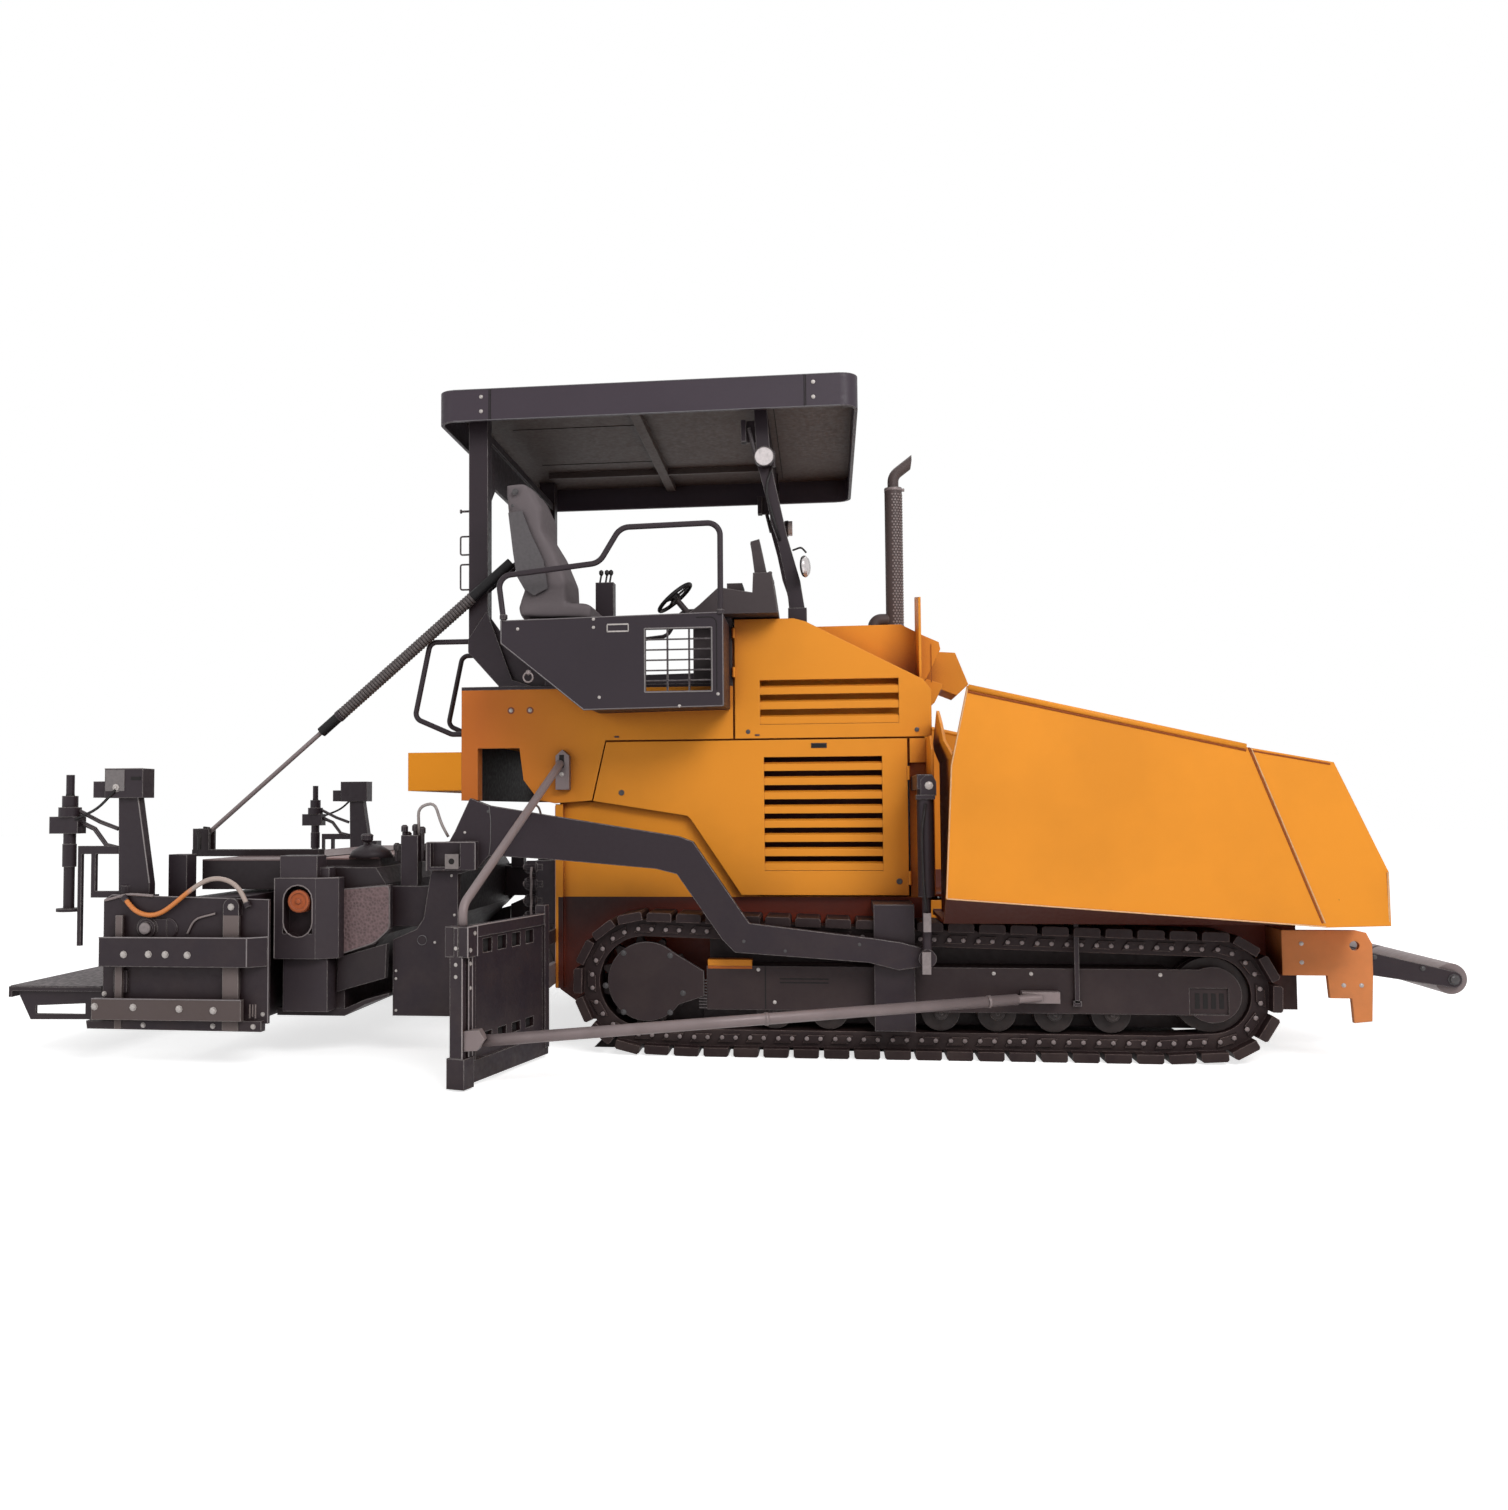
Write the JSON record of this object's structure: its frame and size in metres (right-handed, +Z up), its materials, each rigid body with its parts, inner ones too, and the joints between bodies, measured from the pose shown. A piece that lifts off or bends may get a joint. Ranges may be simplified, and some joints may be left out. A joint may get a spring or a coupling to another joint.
{
  "type": "tracked asphalt paver",
  "caption": "Tracked asphalt paver with front hopper, louvred engine doors, roofed platform, augers, cranked tow arms and a telescopic screed.",
  "frame": {"origin": "middle of the machine's box, on the ground under the tracks", "axes": "+X forwards, from the screed to the hopper; +Y to the machine's left; +Z up"},
  "size_m": [8.136, 4.5322, 3.88],
  "materials": {
    "orange_paint": "semi-gloss orange paint, slightly dusty",
    "dark_paint": "satin charcoal paint",
    "track_steel": "worn dark cast steel with rubber pads",
    "roller_steel": "worn dark cast steel",
    "bare_steel": "dull bare steel",
    "seat_cover": "grey seat covering",
    "black_plastic": "moulded black plastic",
    "lamp_lens": "pale lamp lens",
    "roof_lining": "grey-brown lining"
  },
  "bodies": {
    "tractor": {"auger_supports": "bare_steel", "body_sides": "orange_paint", "bulkheads": "dark_paint", "console": "black_plastic", "conveyor": "bare_steel", "conveyor_tunnel": "bare_steel", "engine": "dark_paint", "exhaust_stack": "dark_paint", "front_bumper": "orange_paint", "front_posts": "dark_paint", "handrails": "dark_paint", "hood": "orange_paint", "hopper": "orange_paint", "level_cylinders": "dark_paint", "main_frame": "orange_paint", "plate_stays": "bare_steel", "platform_floor": "dark_paint", "rear_posts": "dark_paint", "rear_step": "orange_paint", "retaining_plates": "dark_paint", "roof": "dark_paint", "roof_lining": "roof_lining", "seat_bases": "dark_paint", "seats": "seat_cover", "side_panels": "dark_paint", "tow_points": "dark_paint", "track_frames": "dark_paint", "track_left": "track_steel", "track_right": "track_steel", "track_rollers": "roller_steel", "work_lights": "lamp_lens"},
    "wing_left": {"hopper_wing_left": "orange_paint"},
    "wing_right": {"hopper_wing_right": "orange_paint"},
    "push_bar": {"push_beam": "dark_paint"},
    "roller_left": {"push_roller_left": "bare_steel"},
    "roller_right": {"push_roller_right": "bare_steel"},
    "lower_door_left": {"side_door_left": "orange_paint"},
    "lower_door_right": {"side_door_right": "orange_paint"},
    "cover_left": {"upper_door_left": "orange_paint"},
    "cover_right": {"upper_door_right": "orange_paint"},
    "wheel": {"steering_wheel": "black_plastic"},
    "auger_left": {"auger_left": "bare_steel"},
    "auger_right": {"auger_right": "bare_steel"},
    "screed": {"tow_arms": "dark_paint", "screed_frame": "dark_paint", "screed_ends": "dark_paint", "guide_tubes": "orange_paint", "main_walkway": "dark_paint"},
    "extension_left": {"extension_frame_left": "dark_paint", "end_gate_left": "dark_paint", "extension_walkway_left": "dark_paint", "control_stand_left": "dark_paint", "screed_hose_left": "black_plastic"},
    "extension_right": {"extension_frame_right": "dark_paint", "end_gate_right": "dark_paint", "extension_walkway_right": "dark_paint", "control_stand_right": "dark_paint", "screed_hose_right": "black_plastic"},
    "stay_barrel": {"stay_barrel": "black_plastic"},
    "stay_rod": {"stay_rod": "bare_steel"}
  },
  "joints": [
    {"name": "wing_fold_left", "type": "hinge", "parent": "tractor", "child": "wing_left", "pos_m": [2.3, 0.775, 0.769], "axis": [1, 0, 0], "range_deg": [0, 55]},
    {"name": "wing_fold_right", "type": "hinge", "parent": "tractor", "child": "wing_right", "pos_m": [2.3, -0.775, 0.769], "axis": [-1, 0, 0], "range_deg": [0, 55]},
    {"name": "push_bar_swivel", "type": "hinge", "parent": "tractor", "child": "push_bar", "pos_m": [3.39, 0, 0.525], "axis": [0, 0, 1], "range_deg": [-8, 8]},
    {"name": "push_roller_left_spin", "type": "hinge", "parent": "push_bar", "child": "roller_left", "pos_m": [4.01, 0.45, 0.42], "axis": [0, 1, 0], "continuous": true},
    {"name": "push_roller_right_spin", "type": "hinge", "parent": "push_bar", "child": "roller_right", "pos_m": [4.01, -0.45, 0.42], "axis": [0, 1, 0], "continuous": true},
    {"name": "lower_door_left_swing", "type": "hinge", "parent": "tractor", "child": "lower_door_left", "pos_m": [1.07, 1.004, 1.33], "axis": [0, 0, -1], "range_deg": [0, 75]},
    {"name": "lower_door_right_swing", "type": "hinge", "parent": "tractor", "child": "lower_door_right", "pos_m": [1.07, -1.004, 1.33], "axis": [0, 0, 1], "range_deg": [0, 75]},
    {"name": "cover_left_swing", "type": "hinge", "parent": "tractor", "child": "cover_left", "pos_m": [0.068, 1.004, 2.14], "axis": [0, 0, 1], "range_deg": [0, 70]},
    {"name": "cover_right_swing", "type": "hinge", "parent": "tractor", "child": "cover_right", "pos_m": [0.068, -1.004, 2.14], "axis": [0, 0, -1], "range_deg": [0, 70]},
    {"name": "steering", "type": "hinge", "parent": "tractor", "child": "wheel", "pos_m": [-0.276, -1, 2.628], "axis": [-0.64, 0, 0.7684], "range_deg": [-150, 150]},
    {"name": "auger_left_spin", "type": "hinge", "parent": "tractor", "child": "auger_left", "pos_m": [-1.25, 0.65, 0.42], "axis": [0, 1, 0], "continuous": true},
    {"name": "auger_right_spin", "type": "hinge", "parent": "tractor", "child": "auger_right", "pos_m": [-1.25, -0.65, 0.42], "axis": [0, 1, 0], "continuous": true},
    {"name": "screed_lift", "type": "hinge", "parent": "tractor", "child": "screed", "pos_m": [1.13, 0, 0.57], "axis": [0, -1, 0], "range_deg": [0, 2.6]},
    {"name": "extension_left_slide", "type": "slide", "parent": "screed", "child": "extension_left", "axis": [0, 1, 0], "range_m": [-0.18, 0.85]},
    {"name": "extension_right_slide", "type": "slide", "parent": "screed", "child": "extension_right", "axis": [0, -1, 0], "range_m": [-0.18, 0.85]},
    {"name": "stay_swing", "type": "hinge", "parent": "tractor", "child": "stay_barrel", "pos_m": [-1.208, -1.065, 2.885], "axis": [-0.091, -0.9958, 0.0119], "range_deg": [0, 2.86]},
    {"name": "stay_slide", "type": "slide", "parent": "stay_barrel", "child": "stay_rod", "axis": [-0.7733, 0.0632, -0.6308], "range_m": [0, 0.14852]}
  ],
  "couplings": [
    {"joint": "stay_swing", "follows": "screed_lift", "ratio": 1.1},
    {"joint": "stay_slide", "follows": "screed_lift", "m_per_rad": 3.2729}
  ]
}
